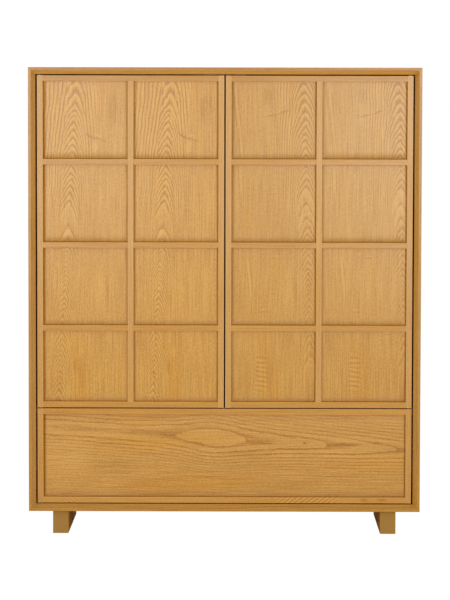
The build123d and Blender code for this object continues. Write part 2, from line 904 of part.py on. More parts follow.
def ball_cages(web, half):
    """A pair of cages and their loose balls: each cage is a thin channel of strip between two members."""
    height = half + (ball_gap + cage_gauge) / 2
    reach = ball_depth + ball_radius + 2 * cage_gauge
    stretch = (cage_front, cage_front + cage_length)
    with BuildPart() as cages:
        for side in SIDES.values():
            block(
                (side * (inner_half - web), side * (inner_half - reach)),
                stretch,
                (runner_level - height, runner_level + height),
            )
            block(
                (side * (inner_half - web - cage_gauge), side * (inner_half - reach)),
                stretch,
                (runner_level - height + cage_gauge, runner_level + height - cage_gauge),
                mode=Mode.SUBTRACT,
            )
        with Locations(*ball_points(half)):
            Sphere(ball_radius + ball_clearance / 2, mode=Mode.SUBTRACT)
            Sphere(ball_radius)
    return cages.part


def mid_web(low, high):
    """Depth at which a cage's web stands midway between two members' webs."""
    return (low + high - cage_gauge) / 2


case_web = (0, runner_gauge)
drawer_web = (runner_space - runner_gauge, runner_space)
case_members = channels(case_web, outer_reach, outer_half, hardware_screw_hole, case_runner_screws)
save(case_members, "runner_case_members")
save(channels((middle_web, middle_web + runner_gauge), middle_reach, middle_half), "runner_middle_members")
drawer_members = channels(
    drawer_web, inner_start, inner_member_half, runner_screw_hole, drawer_runner_screws
)
save(drawer_members, "runner_drawer_members")
save(ball_cages(mid_web(runner_gauge, middle_web), middle_half), "runner_outer_cages")
save(ball_cages(mid_web(middle_web + runner_gauge, inner_start), inner_member_half), "runner_inner_cages")
save(copies(slotted_screw(runner_screw_length), drawer_runner_screws), "drawer_runner_screws")
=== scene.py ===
"""Finish and studio of the mizuya kitchen cabinet: its veneers, solid wood, steel and screws.

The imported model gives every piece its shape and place. Each sub-assembly below is a class that dresses
its own pieces, and the screws are made here with threads and cross slots. Lengths are in metres, in the
model's own frame: X to the right, Y from front to back and Z up.
"""

from __future__ import annotations

import logging
import math
from collections.abc import Callable, Iterable, Mapping, Sequence
from dataclasses import dataclass, field, replace
from enum import Enum
from typing import ClassVar

import bmesh
import bpy
from mathutils import Matrix, Vector


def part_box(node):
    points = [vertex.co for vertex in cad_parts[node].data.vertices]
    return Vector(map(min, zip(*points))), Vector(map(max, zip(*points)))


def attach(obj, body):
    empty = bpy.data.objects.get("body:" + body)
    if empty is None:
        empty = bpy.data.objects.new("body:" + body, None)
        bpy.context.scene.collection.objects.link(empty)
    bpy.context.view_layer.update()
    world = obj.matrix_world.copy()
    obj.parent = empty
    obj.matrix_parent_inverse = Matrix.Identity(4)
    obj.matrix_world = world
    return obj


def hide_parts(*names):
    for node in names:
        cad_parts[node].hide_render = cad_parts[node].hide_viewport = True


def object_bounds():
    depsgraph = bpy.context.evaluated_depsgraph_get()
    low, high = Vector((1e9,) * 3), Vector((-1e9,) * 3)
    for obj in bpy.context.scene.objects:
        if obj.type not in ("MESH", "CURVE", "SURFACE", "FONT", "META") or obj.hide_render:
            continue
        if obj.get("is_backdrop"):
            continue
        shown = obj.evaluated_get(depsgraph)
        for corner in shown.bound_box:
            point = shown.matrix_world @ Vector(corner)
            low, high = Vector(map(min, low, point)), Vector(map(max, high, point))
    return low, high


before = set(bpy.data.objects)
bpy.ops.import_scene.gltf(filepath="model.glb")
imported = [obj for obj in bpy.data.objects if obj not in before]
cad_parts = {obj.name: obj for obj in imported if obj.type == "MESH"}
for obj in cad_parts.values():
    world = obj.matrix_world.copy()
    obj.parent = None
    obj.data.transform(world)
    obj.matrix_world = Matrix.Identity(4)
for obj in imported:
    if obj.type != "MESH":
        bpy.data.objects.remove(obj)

log = logging.getLogger("mizuya")
Colour = tuple[float, float, float]
Pair = tuple[float, float]


# ---------------------------------------------------------------- shader writing
def tint(colour: Iterable[float], factor: float = 1.0) -> tuple[float, float, float, float]:
    """Turn a display colour into the linear one that a shader works with.

    Args:
        colour: Red, green and blue, from 0 to 255.
        factor: What they are multiplied by first.

    Returns:
        The linear colour, with full alpha.
    """
    parts = [value * factor / 255 for value in colour]
    red, green, blue = (p / 12.92 if p <= 0.04045 else ((p + 0.055) / 1.055) ** 2.4 for p in parts)
    return (red, green, blue, 1.0)


def maths(operation: str, turned: bool = False) -> Callable[..., Term]:
    """Make a method of Term out of an operation of the Math node.

    Args:
        operation: The node's operation.
        turned: Whether the other number comes first.

    Returns:
        The method, which takes the operation's other number where there is one.
    """

    def method(term: Term, *other: Number) -> Term:
        """Add the node behind the term."""
        return term.graph.math(operation, *((*other, term) if turned else (term, *other)))

    return method


class Term:
    """A number that varies over a surface, written as Python writes numbers."""

    __add__ = __radd__ = maths("ADD")
    __sub__, __rsub__ = maths("SUBTRACT"), maths("SUBTRACT", turned=True)
    __mul__ = __rmul__ = maths("MULTIPLY")
    __truediv__, __rtruediv__ = maths("DIVIDE"), maths("DIVIDE", turned=True)
    __pow__, __abs__ = maths("POWER"), maths("ABSOLUTE")
    root, floor, fract, sine = (maths(name) for name in ("SQRT", "FLOOR", "FRACT", "SINE"))
    at_least, at_most = maths("MAXIMUM"), maths("MINIMUM")

    def __init__(self, graph: Graph, socket: bpy.types.NodeSocket) -> None:
        """Wrap the output socket of a node that belongs to the graph."""
        self.graph = graph
        self.socket = socket

    def rise(self, start: float, end: float) -> Term:
        """Smooth step.

        Args:
            start: Where the step is still 0.
            end: Where it has reached 1; below start, the step falls instead.

        Returns:
            A number from 0 to 1.
        """
        low, high, first, last = (start, end, 0.0, 1.0) if start < end else (end, start, 1.0, 0.0)
        made = self.graph.node(
            "ShaderNodeMapRange",
            {"interpolation_type": "SMOOTHSTEP"},
            {"Value": self, "From Min": low, "From Max": high, "To Min": first, "To Max": last},
        )
        return Term(self.graph, made.outputs["Result"])


Number = float | int | Term


class Nodes:
    """The nodes of one tree, added one by one."""

    def __init__(self, tree: bpy.types.NodeTree) -> None:
        """Add to that tree."""
        self.tree = tree

    def feed(self, socket: bpy.types.NodeSocket, value: object) -> None:
        """Fill a socket.

        Args:
            socket: The input.
            value: A plain value, or a term or another socket that is linked to it.
        """
        source = value.socket if isinstance(value, Term) else value
        if isinstance(source, bpy.types.NodeSocket):
            self.tree.links.new(source, socket)
        else:
            socket.default_value = source

    def node(
        self,
        kind: str,
        settings: Mapping[str, object] | None = None,
        inputs: Mapping[str | int, object] | None = None,
    ) -> bpy.types.Node:
        """Add any node.

        Args:
            kind: The node's type.
            settings: Its properties, such as a Math node's operation.
            inputs: Values or links of its sockets, by name or number.

        Returns:
            The new node.
        """
        made = self.tree.nodes.new(kind)
        for key, value in (settings or {}).items():
            if key == "points":
                self.bend(made.mapping, value)
            else:
                setattr(made, key, value)
        for key, value in (inputs or {}).items():
            self.feed(made.inputs[key], value)
        return made

    @staticmethod
    def bend(mapping: bpy.types.CurveMapping, points: Sequence[Pair]) -> None:
        """Run a Float Curve node's curve through points.

        Args:
            mapping: The node's curve.
            points: Where it runs, from 0 to 1 both ways.
        """
        line = mapping.curves[0].points
        while len(line) < len(points):
            line.new(0.5, 0.5)
        for knot, place in zip(line, points):
            knot.location = place
            knot.handle_type = "AUTO_CLAMPED"
        mapping.update()


class Graph(Nodes):
    """A material's nodes."""

    def __init__(self, name: str) -> None:
        """Make an empty node material.

        Args:
            name: The material's name.
        """
        self.material = bpy.data.materials.new(name)
        self.material.use_nodes = True
        super().__init__(self.material.node_tree)
        self.tree.nodes.clear()
        self.bsdf = self.node("ShaderNodeBsdfPrincipled")
        self.leave = self.node("ShaderNodeOutputMaterial", None, {"Surface": self.bsdf.outputs["BSDF"]})

    def math(self, operation: str, *values: Number) -> Term:
        """Add a Math node with those inputs."""
        made = self.node("ShaderNodeMath", {"operation": operation}, dict(enumerate(values)))
        return Term(self, made.outputs[0])

    def coordinate(self, kind: str) -> tuple[Term, Term, Term]:
        """Read one of the texture coordinates.

        Args:
            kind: The output of the Texture Coordinate node.

        Returns:
            Its X, Y and Z.
        """
        vector = self.node("ShaderNodeTexCoord").outputs[kind]
        parts = self.node("ShaderNodeSeparateXYZ", None, {0: vector})
        return tuple(Term(self, parts.outputs[axis]) for axis in range(3))

    def place(self) -> tuple[Term, Term, Term]:
        """The point on the piece, as its X, Y and Z in the model's frame."""
        return self.coordinate("Object")

    def edge(self, low: Vector, high: Vector) -> Term:
        """Distance from a point on a box-shaped piece to the nearest edge of its box.

        Args:
            low: The box's lowest corner.
            high: The box's highest corner.

        Returns:
            The distance in metres.
        """
        place = self.place()
        x, y, z = ((place[axis] - low[axis]).at_most(high[axis] - place[axis]) for axis in range(3))
        return x.at_most(y).at_least(x.at_least(y).at_most(z))

    def facing(self, axis: Fibre) -> Term:
        """How squarely the surface faces an axis of the piece, from -1 to 1."""
        return self.coordinate("Normal")[axis.value]

    def noise(self, point: Sequence[Number], detail: float = 2.0, roughness: float = 0.5) -> Term:
        """Smooth noise about 0, from -0.5 to 0.5, at a point that the caller has scaled.

        Args:
            point: The three scaled coordinates.
            detail: Octaves of finer noise.
            roughness: Share of each finer octave.

        Returns:
            The noise.
        """
        vector = self.node("ShaderNodeCombineXYZ", None, dict(enumerate(point)))
        made = self.node(
            "ShaderNodeTexNoise",
            None,
            {"Vector": vector.outputs[0], "Scale": 1.0, "Detail": detail, "Roughness": roughness},
        )
        return Term(self, made.outputs["Fac"]) - 0.5

    def follow(self, value: Number, knots: Sequence[Pair]) -> Term:
        """Read a smooth curve that runs through knots.

        Args:
            value: Where the curve is read.
            knots: Rising pairs of a value and the curve's height there.

        Returns:
            The height.
        """
        (start, low), (end, high) = knots[0], knots[-1]
        points = [((x - start) / (end - start), (y - low) / (high - low)) for x, y in knots]
        share = (value - start) / (end - start)
        made = self.node("ShaderNodeFloatCurve", {"points": points}, {"Value": share})
        return Term(self, made.outputs["Value"]) * (high - low) + low

    def blend(
        self, share: Number, first: object, second: object, mode: str = "MIX"
    ) -> bpy.types.NodeSocket:
        """Mix two colours.

        Args:
            share: Share of the second colour.
            first: Colour or socket at share 0.
            second: Colour or socket at share 1.
            mode: The Mix node's blend type.

        Returns:
            The mixed colour's socket.
        """
        made = self.node(
            "ShaderNodeMix",
            {"data_type": "RGBA", "blend_type": mode, "clamp_factor": True},
            {0: share, 6: first, 7: second},
        )
        return made.outputs[2]

    def bump(self, height: Number, depth: float) -> bpy.types.NodeSocket:
        """Turn a height from 0 to 1 into a normal, with the relief's depth in metres."""
        made = self.node("ShaderNodeBump", None, {"Strength": 1.0, "Distance": depth, "Height": height})
        return made.outputs["Normal"]

    def wire(self, colour: object, roughness: Number, height: Number, relief: float) -> bpy.types.Material:
        """Connect the shader.

        Args:
            colour: The base colour's socket.
            roughness: Roughness from 0 to 1.
            height: Height of the surface, from 0 to 1.
            relief: What a height of 1 is in metres.

        Returns:
            The finished material.
        """
        inputs = self.bsdf.inputs
        self.feed(inputs["Base Color"], colour)
        self.feed(inputs["Roughness"], roughness)
        self.feed(inputs["Normal"], self.bump(height, relief))
        return self.material


# ---------------------------------------------------------------- wood
class Fibre(Enum):
    """The way that the fibres of a piece run, as the number of its axis."""

    ACROSS = 0
    DEEP = 1
    UP = 2


@dataclass(frozen=True)
class Weave:
    """Noise drawn out along the fibres: scales along and across them, octaves, and how much it counts."""

    along: float
    across: float
    detail: float = 2.0
    roughness: float = 0.5
    weight: float = 1.0


DASHES = Weave(170, 300, 2.0, 0.65, 2.3)
THREADS = Weave(7, 330, 1.0, 0.6, 2.1)
STREAKS = Weave(4, 110, 2.0, 0.6, 0.8)
CLOUDS = Weave(2.2, 20)
PORES = Weave(130, 2400, 1.0)
# Patches of the painted highlight on outer edges.
EDGE_HIGHLIGHT_PATCHES = Weave(9, 40)
MILL_LINES = Weave(30, 2600)
METAL_SPOTS = Weave(160, 160)


@dataclass(frozen=True)
class Spot:
    """A point on a wooden piece, told along its fibres and on the two axes across them."""

    along: Term
    side: Term
    deep: Term

    @property
    def graph(self) -> Graph:
        """The material's nodes."""
        return self.along.graph

    @classmethod
    def read(cls, graph: Graph, fibre: Fibre) -> Spot:
        """Read the point that is being shaded.

        Args:
            graph: The material's nodes.
            fibre: The way that the fibres run.

        Returns:
            The point.
        """
        x, y, z = graph.place()
        order = {Fibre.ACROSS: (x, z, y), Fibre.DEEP: (y, x, z), Fibre.UP: (z, x, y)}[fibre]
        return cls(*order)

    def noise(self, weave: Weave) -> Term:
        """Noise of that weave, about 0 and not weighted yet."""
        point = (self.along * weave.along, self.side * weave.across, self.deep * weave.across)
        return self.graph.noise(point, weave.detail, weave.roughness)


def ring_lines(count: Term, full: float, fade: float) -> Term:
    """Late wood: at every whole count of rings a sharp dark line, which is full at first and then fades."""
    year = count.fract()
    return (year.rise(fade, full) + year.rise(0.93, 1.0)).at_most(1.0)


@dataclass(frozen=True)
class Blemish:
    """Something that shows in one place of the wood: where it lies, and how far it reaches each way."""

    side: float
    along: float
    half_side: float
    half_along: float

    def shade(self, spot: Spot) -> Term:
        """Darkness that it adds to the wood."""
        raise NotImplementedError


@dataclass(frozen=True)
class Mark(Blemish):
    """A knot, a dark streak or a pale flake: a soft-edged oval, turned by some degrees from level."""

    dark: float
    turned: float = 0.0

    def shade(self, spot: Spot) -> Term:
        """Darkness of the oval; a pale mark's is negative.

        Args:
            spot: The point, as the figure counts it.

        Returns:
            What it adds to the share of the deep colour.
        """
        cosine, sine = math.cos(math.radians(self.turned)), math.sin(math.radians(self.turned))
        aside = spot.side - self.side
        up = spot.along - self.along
        wide = (aside * cosine + up * sine) / self.half_side
        tall = (up * cosine - aside * sine) / self.half_along
        return (wide * wide + tall * tall).rise(1.0, 0.0) * self.dark


@dataclass(frozen=True)
class Ripple(Blemish):
    """Short bars across the grain, where the fibres waved as the tree grew."""

    pitch: float
    strength: float
    lean: float = 0.0

    def shade(self, spot: Spot) -> Term:
        """Darkness and paleness of the bars.

        Args:
            spot: The point, as the figure counts it.

        Returns:
            What it adds to the share of the deep colour.
        """
        aside = (spot.side - self.side) / self.half_side
        up = (spot.along - self.along) / self.half_along
        waver = spot.graph.noise((spot.along * 26, spot.side * 18, 4.0), 1.0) * 5
        bars = ((spot.along + spot.side * self.lean) * (math.tau / self.pitch) + waver).sine()
        bars = bars * aside.rise(-1.15, -0.85) * aside.rise(1.1, 0.3)
        return bars * (up * up).rise(1.0, 0.2) * self.strength


@dataclass(frozen=True)
class Figure:
    """What the growth rings draw on a board or on leaves of veneer."""

    slides: ClassVar[bool] = False
    patchy: ClassVar[float] = 1.6

    def local(self, spot: Spot) -> Spot:
        """The point as the figure counts it: the same point where there is only one board or leaf."""
        return spot

    def lines(self, spot: Spot) -> Term:
        """Darkness of the ring lines, about 0."""
        raise NotImplementedError


@dataclass(frozen=True)
class StraightGrain(Figure):
    """Rings round a heart that lies off to one side, so the face shows long straight lines."""

    spacing: float = 0.0042
    heart: Pair = (0.35, 0.11)
    wander: float = 5.4
    bends: Weave = Weave(1.6, 9)
    slides: ClassVar[bool] = True

    def lines(self, spot: Spot) -> Term:
        """Darkness of the long lines.

        Args:
            spot: The point, as the figure counts it.

        Returns:
            The darkness, about 0.
        """
        waver = spot.noise(self.bends) * self.wander
        side = spot.side + self.heart[0]
        deep = spot.deep + self.heart[1]
        return ring_lines((side * side + deep * deep).root() / self.spacing + waver, 0.0, 0.7) - 0.35


@dataclass(frozen=True)
class Flank:
    """Steep lines beside the arches: their spacing, their fan downwards, and how far they are strong."""

    width: float
    spacing: float
    lean: float
    fan: float
    reach: float
    faint: float


@dataclass(frozen=True)
class LeafFigure(Figure):
    """Sliced leaves of one log laid side by side: each shows the same column of pointed arches.

    The arches stand on an axis that leans. Their levels follow a curve of rings over the height, and
    steep lines run beside them. The leaves' own place (start, leaf, foot and crown) comes from the door.
    """

    axis_foot: float
    axis_lean: float
    climb: tuple[Pair, ...]
    left: Flank
    right: Flank
    narrowing: float = 0.35
    arch_foot: float = 0.6
    flank_foot: float = 0.16
    foot_slopes: Pair = (1.9, 1.8)
    crown_slopes: Pair = (1.15, 1.35)
    bends: Pair = (900.0, 1100.0)
    blunt: float = 0.0026
    sway: float = 0.014
    seam: float = 0.003
    cut: float = 0.003
    seed: float = 0.0
    start: float = 0.0
    leaf: float = 1.0
    foot: float = 0.0
    crown: float = 1.0

    def local(self, spot: Spot) -> Spot:
        """Find the point within its leaf. Each leaf lies a little deeper in the log than the one before.

        Args:
            spot: The point on the piece.

        Returns:
            The point, as the figure counts it.
        """
        count = (spot.side - self.start) / self.leaf
        sheet = count.floor()
        return Spot(spot.along - self.foot, (count - sheet) * self.leaf, sheet * self.cut)

    def flank(self, off: Term, height: Term, side: Flank, waver: Term) -> tuple[Term, Term]:
        """Lines on one side of the arches.

        Args:
            off: Distance from the axis, growing to this side.
            height: Height over the foot.
            side: The flank.
            waver: Noise that bends the lines.

        Returns:
            Darkness of the lines, and a mask that is 1 beyond the arches.
        """
        up = height / (self.crown - self.foot)
        width = (up * self.narrowing + (1 - self.narrowing)) * side.width
        beyond = off - width
        below = (self.crown - self.foot) - height
        rings = beyond / side.spacing * (1 + below * side.fan) + height * (side.lean / side.spacing)
        strength = beyond.rise(side.reach, 0.0) * (1 - side.faint) + side.faint
        lines = (ring_lines(rings * -1.0 + waver, 0.0, 0.55) - 0.3) * strength
        return lines, beyond.rise(-self.seam, self.seam)

    def lines(self, spot: Spot) -> Term:
        """Darkness of arches and flank lines.

        Args:
            spot: The point, as the figure counts it.

        Returns:
            The darkness, about 0.
        """
        graph, height = spot.graph, spot.along
        unlike = spot.deep * 55 + self.seed
        sway = graph.noise((height * 7.0, unlike, 3.0), 1.0) * self.sway
        off = spot.side - (self.axis_foot + height * self.axis_lean) - spot.deep - sway
        broad = graph.noise((off * 34, height * 20, unlike + 7.0))
        fine = graph.noise((off * 150, height * 60, unlike + 1.0), 1.0)
        up = height / (self.crown - self.foot)
        slopes = zip(self.foot_slopes, self.crown_slopes)
        left_slope, right_slope = (up * (last - first) + first for first, last in slopes)
        slope = off.rise(-self.seam, self.seam) * (right_slope - left_slope) + left_slope
        drop = ((off * off + self.blunt**2).root() - self.blunt) * slope
        for way, bend in zip((-1.0, 1.0), self.bends):
            away = (off * way).at_least(0.0)
            drop = drop + away * away * away * bend
        rings = graph.follow(height + drop + broad * 0.024, self.climb) + fine * 0.5
        waver = broad * 0.7 + fine * 0.2
        left, left_mask = self.flank(off * -1.0, height, self.left, waver)
        right, right_mask = self.flank(off, height, self.right, waver)
        arch_share = up.rise(0.1, 0.9) * (1 - self.arch_foot) + self.arch_foot
        flank_share = up.rise(0.5, 0.85) * (1 - self.flank_foot) + self.flank_foot
        arch = (ring_lines(rings, 0.06, 0.84) - 0.48) * arch_share * (1 - left_mask) * (1 - right_mask)
        patches = graph.noise((off * 40, height * 16, unlike + 9.0), 2.0, 0.6) * self.patchy + 1
        return (arch + (left * left_mask + right * right_mask) * flank_share) * patches


@dataclass(frozen=True)
class EyeFigure(Figure):
    """One wide leaf with its grain lying across: an eye, tongues that point one way, and fine lines below.

    The eye is told by its place and half length along the grain, its swelling, and its depth in rings.
    """

    level: float
    lean: float
    eye: tuple[float, float, float, float]
    tongues: tuple[Pair, ...]
    over: Pair = (0.009, 0.030)
    under: Pair = (0.008, 0.040)
    tight: float = 240.0
    sway: float = 0.008

    @staticmethod
    def arched(off: Term, spacing: float, heart: float) -> Term:
        """Rings on one side of the middle line: wide over the heart, and of even spacing further out."""
        away = off.at_least(0.0)
        return ((away * away + heart * heart).root() - heart) / spacing

    def lines(self, spot: Spot) -> Term:
        """Darkness of the eye, the tongues and the fine lines.

        Args:
            spot: The point, as the figure counts it.

        Returns:
            The darkness, about 0.
        """
        graph = spot.graph
        waver = graph.noise((spot.along * 3.0, 2.0, 5.0), 1.0) * self.sway
        along, half_along, swell, depth = self.eye
        out = (spot.along - along) / half_along
        near = 1 / (1 + out * out) ** 2
        raw = spot.side - (self.level + spot.along * self.lean) - waver
        off = raw - raw * near * swell / (1 + raw * raw * self.tight)
        rough = graph.noise((spot.along * 10, off * 50, 2.0), 3.0, 0.6)
        fine = graph.noise((spot.along * 60, off * 240, 6.0), 1.0)
        rings = self.arched(off, *self.over) + self.arched(off * -1.0, *self.under)
        rings = rings + graph.follow(spot.along, self.tongues) + near * depth
        lines = ring_lines(rings + rough * 0.65 + fine * 0.3, 0.0, 0.45) - 0.26
        patches = graph.noise((spot.along * 12, off * 60, 8.0), 2.0, 0.6) * self.patchy + 1
        return lines * (off.rise(0.10, 0.02) * off.rise(-0.12, -0.03) * 0.7 + 0.3) * patches


Shades = tuple[Pair, Pair]


@dataclass(frozen=True)
class Corner:
    """Fields of a framed front, with painted shade along the frame's inner edges and at the foot of each
    field.

    Each side's shade has a reach and a depth, for the first column of fields and for the second.
    """

    left: float
    top: float
    foot: float
    column: float
    column_pitch: float
    row: float
    row_pitch: float
    left_shades: Shades
    right_shades: Shades

    @staticmethod
    def beside(away: Term, second: Term, shades: Shades) -> Term:
        """Shade that falls off away from an upright edge, for the first or the second column."""
        first, last = ((away.rise(reach, 0.002) ** 1.6) * depth for reach, depth in shades)
        return first + (last - first) * second

    def shade(self, graph: Graph) -> Term:
        """Paint shade into the field that holds the point, towards its edges.

        Args:
            graph: The material's nodes.

        Returns:
            Darkness from 0 to 1.
        """
        x, _, z = graph.place()
        count = (x - self.left) / self.column_pitch
        second = count.floor().at_most(1.0)
        in_column = count.fract() * self.column_pitch
        in_row = ((self.top - z) / self.row_pitch).fract() * self.row_pitch
        to_foot = (self.row - in_row).at_most(z - self.foot)
        aside = self.beside(in_column, second, self.left_shades)
        aside = aside.at_least(self.beside(self.column - in_column, second, self.right_shades))
        # Painted shade at the foot of each field: a wide soft ramp and a thin dark line.
        low = to_foot.rise(0.030, 0.0) ** 1.8 * 0.4 + to_foot.rise(0.0035, 0.001) * 0.45
        return aside.at_least(low).at_most(1.0)


# Tints of the paler patches and of the painted shade in the fields' corners, and the grain's slide from one
# piece to the next.
FLUSH = (255, 247, 195)
PAINTED_SHADE = (190, 172, 40)
GRAIN_STEP = 1.37


@dataclass(frozen=True)
class Wood:
    """A wooden finish: its figure, its colours and its lacquer.

    The share of the deep colour is the base, plus what figure, fibres and clouds add, less a painted
    highlight near outer edges. The bevel's and the front's factors multiply the colour on slanting and on
    front faces, as painted light and shade. The pairs that end in from, to, within and range say where a
    soft step is 0 and where it is 1, as a facing, a distance or a noise.
    """

    fibre: Fibre
    pale: Colour
    deep: Colour
    figure: Figure = field(default_factory=StraightGrain)
    pore: Colour = (136, 84, 20)
    end: Colour = (150, 104, 44)
    base: float = 0.42
    contrast: float = 0.5
    fibres: float = 0.7
    clouds: float = 0.3
    blemishes: tuple[Blemish, ...] = ()
    corner: Corner | None = None
    bevel: Colour | None = None
    roughness: float = 0.23
    specular: float = 0.5
    relief: float = 0.00003
    edge_highlight: float = 0.5
    flushed: float = 0.8
    front: Colour | None = None
    pore_range: Pair = (0.06, 0.24)
    flush_range: Pair = (0.02, 0.2)
    edge_highlight_within: Pair = (0.0026, 0.0006)
    bevel_from: Pair = (0.3, 0.4)
    bevel_to: Pair = (0.8, 0.7)
    front_from: Pair = (0.8, 0.95)
    cut_from: Pair = (0.7, 0.9)

    def share(self, spot: Spot, lines: Term, dashes: Term) -> Term:
        """Share of the deep colour.

        Args:
            spot: The point, as the figure counts it.
            lines: The figure's lines.
            dashes: Noise of single fibres.

        Returns:
            The share, about from 0 to 1.
        """
        fibres = dashes * DASHES.weight
        for weave in (THREADS, STREAKS):
            fibres = fibres + spot.noise(weave) * weave.weight
        share = lines * self.contrast + fibres * self.fibres + self.base + spot.noise(CLOUDS) * self.clouds
        for blemish in self.blemishes:
            share = share + blemish.shade(spot)
        return share

    def make(self, name: str, shift: float, piece: str | None = None) -> bpy.types.Material:
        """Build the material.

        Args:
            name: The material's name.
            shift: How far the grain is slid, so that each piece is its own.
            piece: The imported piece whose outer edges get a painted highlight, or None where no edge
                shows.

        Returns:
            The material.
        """
        graph = Graph(name)
        spot = Spot.read(graph, self.fibre)
        if self.figure.slides:
            spot = replace(spot, along=spot.along + shift)
        leaf = self.figure.local(spot)
        lines = self.figure.lines(leaf)
        dashes = spot.noise(DASHES)
        pores = spot.noise(PORES).rise(*self.pore_range)
        share = self.share(leaf, lines, dashes)
        # Painted highlight: near the piece's outer edges the wood turns paler, in patches, as if the
        # arrises caught the light.
        if piece is not None:
            patches = spot.noise(EDGE_HIGHLIGHT_PATCHES) + 0.75
            share = share - graph.edge(*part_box(piece)).rise(*self.edge_highlight_within) * patches * self.edge_highlight
        colour = graph.blend(share, tint(self.pale), tint(self.deep))
        flush = graph.noise((leaf.along * 1.7, leaf.side * 11, leaf.deep * 11 + 5), 1.0)
        flush = flush.rise(*self.flush_range) * self.flushed
        colour = graph.blend(flush, colour, tint(FLUSH), "MULTIPLY")
        colour = graph.blend(pores * 0.3, colour, tint(self.pore))
        dull: Number = 0.0
        # Painted shade along the inner edges and the foot of each framed field, with rougher lacquer there.
        if self.corner is not None:
            shade = self.corner.shade(graph)
            colour = graph.blend(shade, colour, tint(PAINTED_SHADE), "MULTIPLY")
            dull = shade * 0.8
        slant = abs(graph.facing(Fibre.DEEP))
        # Painted light and shade on the bevels and on front faces.
        if self.bevel is not None:
            sloping = slant.rise(*self.bevel_from) * slant.rise(*self.bevel_to)
            colour = graph.blend(sloping, colour, (*self.bevel, 1.0), "MULTIPLY")
        if self.front is not None:
            colour = graph.blend(slant.rise(*self.front_from), colour, (*self.front, 1.0), "MULTIPLY")
        cut = abs(graph.facing(self.fibre)).rise(*self.cut_from)
        speckle = graph.noise((spot.side * 900, spot.deep * 900, spot.along * 40))
        end = graph.blend(speckle + lines * 0.3 + 0.4, tint(self.end), tint(self.end, 0.8))
        graph.bsdf.inputs["Specular IOR Level"].default_value = self.specular
        return graph.wire(
            colour=graph.blend(cut, colour, end),
            roughness=self.roughness + dashes * 0.05 + cut * 0.25 + dull,
            height=1 - pores * 0.7 - lines * 0.3,
            relief=self.relief,
        )


# ---------------------------------------------------------------- metal and plastic
@dataclass(frozen=True)
class Metal:
    """A plated or brushed metal with fine lines from the rolling mill."""

    colour: Colour
    roughness: float = 0.34
    brushed: Fibre = Fibre.DEEP

    def make(self, name: str) -> bpy.types.Material:
        """Build the material.

        Args:
            name: The material's name.

        Returns:
            The material.
        """
        graph = Graph(name)
        spot = Spot.read(graph, self.brushed)
        lines, spots = spot.noise(MILL_LINES), spot.noise(METAL_SPOTS)
        colour = graph.blend(lines * 0.6 + spots * 0.9 + 0.4, tint(self.colour), tint(self.colour, 0.78))
        graph.bsdf.inputs["Metallic"].default_value = 1.0
        return graph.wire(colour, self.roughness + lines * 0.2 + spots * 0.12, lines, 0.00001)


@dataclass(frozen=True)
class Plastic:
    """A moulded plastic with a fine spark-eroded texture."""

    colour: Colour
    roughness: float = 0.5

    def make(self, name: str) -> bpy.types.Material:
        """Build the material.

        Args:
            name: The material's name.

        Returns:
            The material.
        """
        graph = Graph(name)
        x, y, z = graph.place()
        grain = graph.noise((x * 2600, y * 2600, z * 2600))
        clouds = graph.noise((x * 60, y * 60, z * 60))
        colour = graph.blend(clouds + 0.4, tint(self.colour), tint(self.colour, 0.88))
        return graph.wire(colour, self.roughness + grain * 0.2, grain, 0.00003)


def stand(name: str, data: bpy.types.ID) -> bpy.types.Object:
    """Stand an object in the scene.

    Args:
        name: Its name.
        data: Its mesh, light or camera.

    Returns:
        The object.
    """
    made = bpy.data.objects.new(name, data)
    bpy.context.scene.collection.objects.link(made)
    return made


def dress(node: str, material: bpy.types.Material) -> None:
    """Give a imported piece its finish, in every slot that it has.

    Args:
        node: The piece's name.
        material: Its finish.
    """
    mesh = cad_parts[node].data
    mesh.materials.clear()
    mesh.materials.append(material)
    log.info("dressed %s with %s", node, material.name)


def dress_wood(pieces: Iterable[str], finish: Wood, first_shift: float) -> None:
    """Give wooden pieces one finish, each with its own stretch of the grain from the first shift on."""
    for count, piece in enumerate(pieces):
        dress(piece, finish.make(f"{piece}_wood", first_shift + GRAIN_STEP * count, piece))


# ---------------------------------------------------------------- sub-assemblies
SIDES = ("left", "right")
UPRIGHT = Wood(Fibre.UP, pale=(214, 163, 87), deep=(183, 124, 30), contrast=0.3, fibres=0.5)
LYING = replace(UPRIGHT, fibre=Fibre.ACROSS, pale=(209, 153, 59), deep=(174, 112, 8))
STRIKE = Metal((172, 172, 174))


@dataclass(frozen=True)
class Board:
    """One outer board: what its colour is multiplied by on the flat front lip and on the bevel, as painted
    light and shade for how the light falls on that side.
    """

    name: str
    land_painted_light: Colour
    bevel: Colour


@dataclass
class Case:
    """Mitred outer boards, their splines, and the two foot rails."""

    pale: Colour = (200, 146, 60)
    deep: Colour = (164, 106, 12)
    # Painted light and shade: each board's lip and bevel are lightened or darkened for how the light falls
    # on its side, the top bevel most.
    boards: tuple[Board, ...] = (
        Board("case_top", (0.88, 0.78, 0.30), (1.37, 1.51, 2.8)),
        Board("case_bottom", (0.98, 0.98, 0.9), (1.04, 1.13, 1.8)),
        Board("case_side_left", (0.96, 0.95, 0.6), (1.10, 1.20, 2.5)),
        Board("case_side_right", (0.95, 0.95, 0.6), (1.10, 1.21, 2.2)),
    )

    def dress(self) -> None:
        """Veneer the boards along their length and the feet from front to back."""
        veneer = replace(UPRIGHT, pale=self.pale, deep=self.deep)
        for count, board in enumerate(self.boards):
            fibre = Fibre.UP if "side" in board.name else Fibre.ACROSS
            # Each board's lip and bevel get its painted light and shade.
            wood = replace(veneer, fibre=fibre, bevel=board.bevel, front=board.land_painted_light)
            dress_wood([board.name], wood, 0.4 + 1.7 * count)
        solid = Wood(Fibre.DEEP, pale=self.pale, deep=self.deep, end=(182, 137, 68), roughness=0.8)
        dress_wood((f"foot_rail_{side}" for side in SIDES), replace(solid, specular=0.15), 7.7)
        dress("mitre_splines", solid.make("spline_wood", 0.0))


